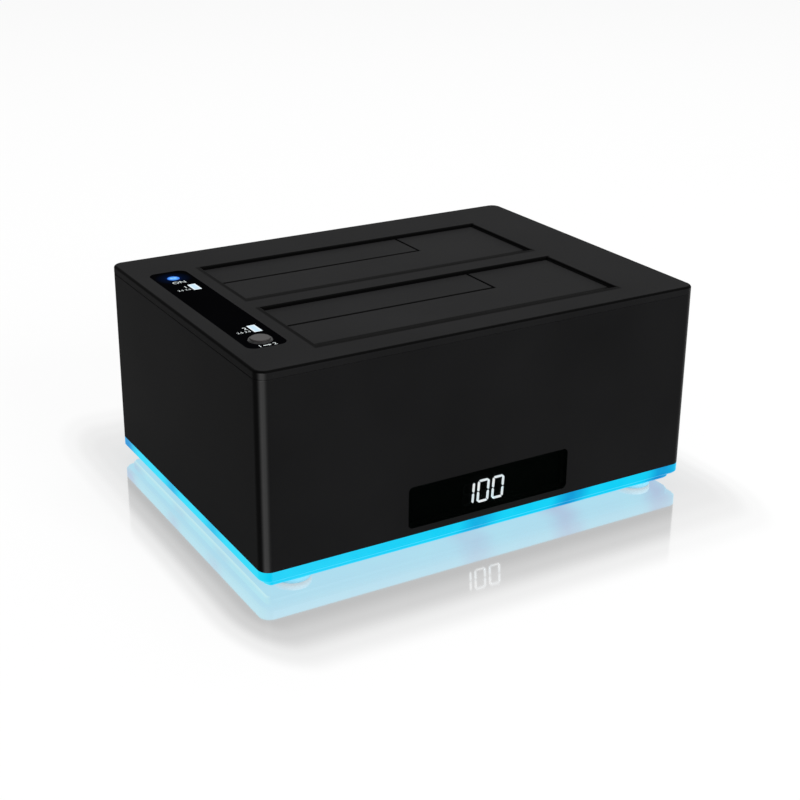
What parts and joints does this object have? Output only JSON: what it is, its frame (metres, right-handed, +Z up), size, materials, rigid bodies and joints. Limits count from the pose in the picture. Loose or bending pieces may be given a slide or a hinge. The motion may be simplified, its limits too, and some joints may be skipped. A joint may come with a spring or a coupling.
{
  "type": "drive duplicator dock",
  "caption": "Table-top dock that holds disk drives upright under sprung flaps and copies one to the other, on a lit base with a display in front.",
  "frame": {"origin": "middle of the housing's outline at the level the feet stand on", "axes": "+X to the right along the long front face, +Y towards the connectors at the back, +Z up"},
  "size_m": [0.15, 0.1106, 0.0684],
  "materials": {
    "housing_black": "fine satin grain",
    "cover_black": "fine satin grain",
    "flap_black": "satin",
    "bay_black": "plain moulded",
    "chassis_black": "plain moulded",
    "panel_gloss": "polished",
    "display_smoke": "smoked, polished",
    "display_black": "flat",
    "segment_lit": "glowing",
    "segment_dark": "unlit",
    "lit_plastic": "translucent, glowing cyan",
    "strip_white": "flat",
    "chip_yellow": "satin",
    "foot_rubber": "pale, matt",
    "screw_steel": "zinc plated",
    "pin_steel": "drawn",
    "spring_steel": "drawn",
    "socket_black": "moulded",
    "contact_gold": "gold plated",
    "board_green": "solder mask",
    "chip_black": "moulded",
    "capacitor_can": "sleeveless can",
    "port_steel": "drawn",
    "tongue_black": "moulded",
    "jack_black": "moulded",
    "jack_pin": "plated",
    "switch_black": "moulded",
    "rocker_black": "polished",
    "button_black": "satin gloss",
    "ring_black": "satin gloss",
    "plunger_grey": "moulded",
    "lamp_blue": "lit blue",
    "status_white": "lit white"
  },
  "bodies": {
    "housing": {"outer_shell": "housing_black", "top_cover": "cover_black", "drive_bay_rear": "bay_black", "drive_bay_front": "bay_black", "chassis_plate": "chassis_black", "control_panel": "panel_gloss", "display_window": "display_smoke", "display_module": "display_black", "lit_segments": "segment_lit", "dark_segments": "segment_dark", "light_base": "lit_plastic", "led_strips": "strip_white", "led_chips": "chip_yellow", "indicator_leds": "chip_yellow", "rubber_feet": "foot_rubber", "base_screws": "screw_steel", "bay_screws": "screw_steel", "board_screws": "screw_steel", "indicator_screws": "screw_steel", "large_hinge_pin_rear": "pin_steel", "large_hinge_pin_front": "pin_steel", "small_hinge_pin_rear": "pin_steel", "small_hinge_pin_front": "pin_steel", "large_flap_spring_rear": "spring_steel", "large_flap_spring_front": "spring_steel", "small_flap_spring_rear": "spring_steel", "small_flap_spring_front": "spring_steel", "sata_socket_rear": "socket_black", "sata_socket_front": "socket_black", "sata_contacts_rear": "contact_gold", "sata_contacts_front": "contact_gold", "main_board": "board_green", "indicator_board": "board_green", "display_board": "board_green", "bridge_chips": "chip_black", "capacitors": "capacitor_can", "usb_port_shell": "port_steel", "usb_port_tongue": "tongue_black", "dc_jack": "jack_black", "dc_jack_pin": "jack_pin", "switch_frame": "switch_black", "tact_switch": "switch_black", "button_ring": "ring_black", "power_lamp": "lamp_blue", "status_window_rear": "status_white", "status_window_front": "status_white"},
    "large_flap_front": {"large_flap_front": "flap_black"},
    "large_flap_rear": {"large_flap_rear": "flap_black"},
    "small_flap_front": {"small_flap_front": "flap_black"},
    "small_flap_rear": {"small_flap_rear": "flap_black"},
    "clone_button": {"clone_button": "button_black", "switch_plunger": "plunger_grey"},
    "power_rocker": {"power_rocker": "rocker_black"}
  },
  "joints": [
    {"name": "large_flap_rear_hinge", "type": "hinge", "parent": "housing", "child": "large_flap_rear", "pos_m": [0.0007, 0.0028, 0.0642], "axis": [-1, 0, 0], "range_deg": [0, 88], "stiffness_Nm_per_rad": 0.004, "springref_deg": -57.3, "deforming": ["large_flap_spring_rear"]},
    {"name": "large_flap_front_hinge", "type": "hinge", "parent": "housing", "child": "large_flap_front", "pos_m": [0.0007, -0.04215, 0.0642], "axis": [-1, 0, 0], "range_deg": [0, 88], "stiffness_Nm_per_rad": 0.004, "springref_deg": -57.3, "deforming": ["large_flap_spring_front"]},
    {"name": "small_flap_rear_hinge", "type": "hinge", "parent": "housing", "child": "small_flap_rear", "pos_m": [0.0007, 0.0354, 0.0642], "axis": [1, 0, 0], "range_deg": [0, 88], "stiffness_Nm_per_rad": 0.002, "springref_deg": -57.3, "deforming": ["small_flap_spring_rear"]},
    {"name": "small_flap_front_hinge", "type": "hinge", "parent": "housing", "child": "small_flap_front", "pos_m": [0.0007, -0.00955, 0.0642], "axis": [1, 0, 0], "range_deg": [0, 88], "stiffness_Nm_per_rad": 0.002, "springref_deg": -57.3, "deforming": ["small_flap_spring_front"]},
    {"name": "clone_button_press", "type": "slide", "parent": "housing", "child": "clone_button", "axis": [0, 0, -1], "range_m": [0, 0.0005], "stiffness_N_per_m": 300, "springref_m": -0.0005},
    {"name": "power_rocker_tilt", "type": "hinge", "parent": "housing", "child": "power_rocker", "pos_m": [-0.027, 0.0516, 0.0195], "axis": [0, 0, 1], "range_deg": [0, 12]}
  ]
}
